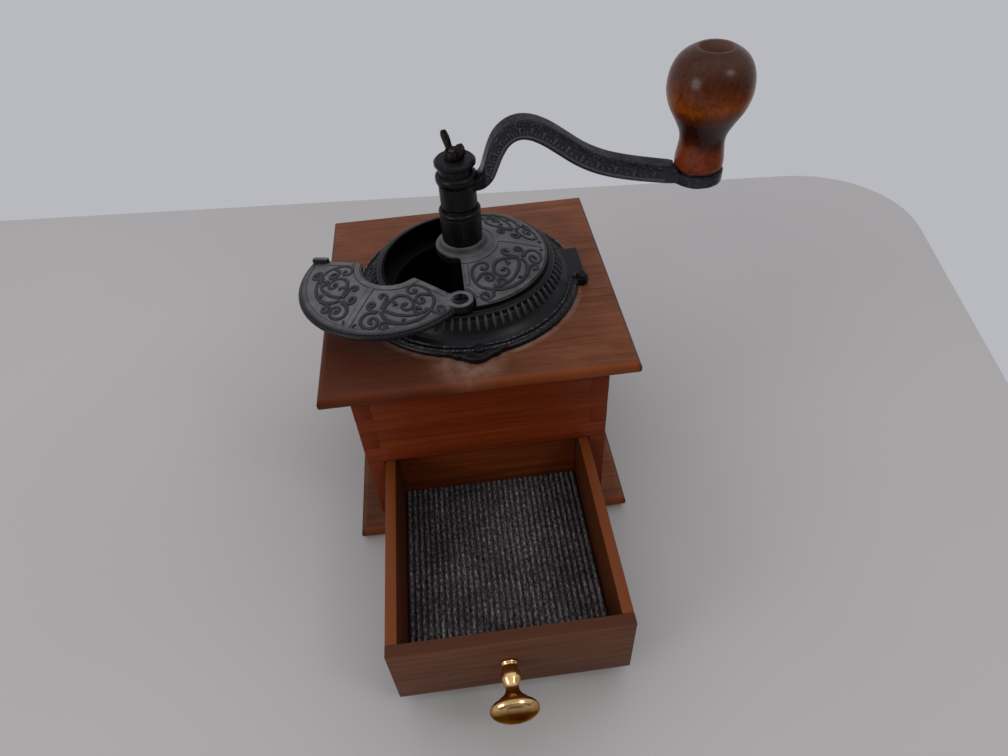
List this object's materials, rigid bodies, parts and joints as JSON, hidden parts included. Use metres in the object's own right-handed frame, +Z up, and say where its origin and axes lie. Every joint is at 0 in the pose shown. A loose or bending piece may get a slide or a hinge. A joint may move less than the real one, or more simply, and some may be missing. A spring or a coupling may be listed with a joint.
{
  "type": "manual coffee grinder",
  "caption": "Hand-cranked box coffee grinder: wooden box with a sliding drawer, cast iron hopper with a swinging half lid, curved crank and a burr set on a spindle.",
  "frame": {"origin": "centre of the base board's underside, below the spindle", "axes": "+X right, towards the crank's knob; +Y back, away from the drawer; +Z up along the spindle"},
  "size_m": [0.2042, 0.2505, 0.2083],
  "materials": {
    "board_wood": "stained, satin",
    "box_wood": "stained, satin",
    "dowel_wood": "raw",
    "drawer_front_wood": "stained, dull",
    "drawer_wood": "stained, satin",
    "knob_wood": "turned, glossy varnish",
    "liner_fabric": "ribbed mat",
    "brass": "polished",
    "cast_iron": "black, worn grey on the relief",
    "black_iron": "black, semi-gloss",
    "burr_steel": "hardened, dull",
    "dark_steel": "blackened",
    "bright_steel": "plain",
    "worn_steel": "worn, slightly rusted"
  },
  "bodies": {
    "frame": {"base_board": "board_wood", "top_board": "board_wood", "left_side": "box_wood", "right_side": "box_wood", "back_panel": "box_wood", "front_rail": "box_wood", "base_screws": "bright_steel", "top_dowels": "dowel_wood", "hopper_dome": "cast_iron", "flange_screws": "dark_steel", "hopper_funnel": "cast_iron", "outer_burr": "burr_steel", "bearing_bridge": "cast_iron", "bridge_screws": "bright_steel", "spindle_sleeve": "black_iron", "lid_screw": "dark_steel"},
    "lid": {"hopper_lid": "cast_iron"},
    "drawer": {"drawer_front": "drawer_front_wood", "drawer_left": "drawer_wood", "drawer_right": "drawer_wood", "drawer_back": "drawer_wood", "drawer_floor": "drawer_wood", "drawer_liner": "liner_fabric", "drawer_knob": "brass", "drawer_knob_screw": "bright_steel"},
    "crank": {"crank_arm": "black_iron", "nut_collar": "black_iron", "thrust_washer": "bright_steel", "knob_bolt": "bright_steel", "knob_washer": "bright_steel"},
    "spindle": {"spindle": "worn_steel", "inner_burr": "burr_steel", "burr_nut": "bright_steel", "spring_collar": "bright_steel", "collar_pin": "bright_steel", "burr_spring": "bright_steel"},
    "wing_nut": {"wing_nut": "worn_steel"},
    "knob": {"crank_knob": "knob_wood"}
  },
  "joints": [
    {"name": "drawer_slide", "type": "slide", "parent": "frame", "child": "drawer", "axis": [0, -1, 0], "range_m": [-0.098, 0.012]},
    {"name": "lid_swing", "type": "hinge", "parent": "frame", "child": "lid", "pos_m": [-0.00453, -0.03692, 0.125], "axis": [0, 0, 1], "range_deg": [-59, 85]},
    {"name": "crank_turn", "type": "hinge", "parent": "frame", "child": "crank", "pos_m": [0, 0, 0.155], "axis": [0, 0, 1], "continuous": true},
    {"name": "nut_turn", "type": "hinge", "parent": "crank", "child": "wing_nut", "pos_m": [0, 0, 0.175], "axis": [0, 0, 1], "range_deg": [-120, 690]},
    {"name": "spindle_lift", "type": "slide", "parent": "crank", "child": "spindle", "axis": [0, 0, 1], "range_m": [-0.0015, 0.00025], "deforming": ["burr_spring"]},
    {"name": "knob_spin", "type": "hinge", "parent": "crank", "child": "knob", "pos_m": [0.1086, 0, 0.18], "axis": [0, 0, 1], "continuous": true}
  ],
  "couplings": [
    {"joint": "nut_turn", "follows": "spindle_lift", "rad_per_m": -7854}
  ]
}
